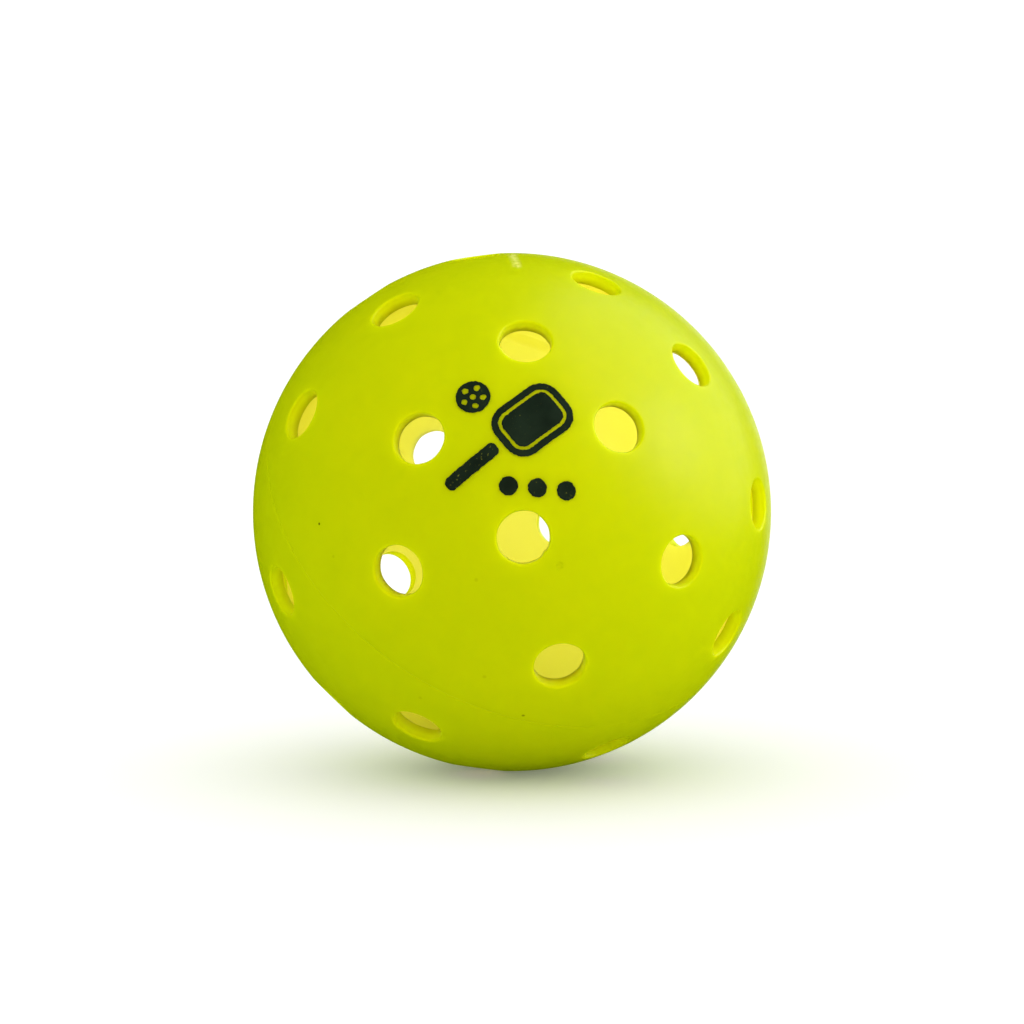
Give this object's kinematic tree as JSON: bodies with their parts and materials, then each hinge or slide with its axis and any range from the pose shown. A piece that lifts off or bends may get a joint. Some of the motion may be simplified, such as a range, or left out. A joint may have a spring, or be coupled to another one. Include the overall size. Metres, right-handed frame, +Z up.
{
  "type": "pickleball",
  "caption": "Hollow perforated plastic ball for paddle sports: two moulded half shells welded at a slanting seam, round holes all over and a small ink pictogram on the front.",
  "frame": {"origin": "centre of the ball", "axes": "+Z is up as the ball stands, and the printed side faces -Y, so the print reads upright. +X is to the right of someone facing the print. The moulding axis, through the crowns of the two half shells, leans 48 degrees from +Z towards the front right, along (0.385, -0.640, 0.665)."},
  "size_m": [0.074, 0.0739, 0.074],
  "materials": {
    "shell": "satin moulded polyethylene, optic yellow-green",
    "weld": "remelted polyethylene, smooth",
    "ink": "pad-printed ink, satin, with pinholes and slightly ragged edges"
  },
  "bodies": {
    "root": {"half_shell_upper": "shell", "half_shell_lower": "shell", "weld_bead": "weld", "print_paddle_face": "ink", "print_paddle_handle": "ink", "print_ball": "ink", "print_dots": "ink"}
  },
  "joints": []
}
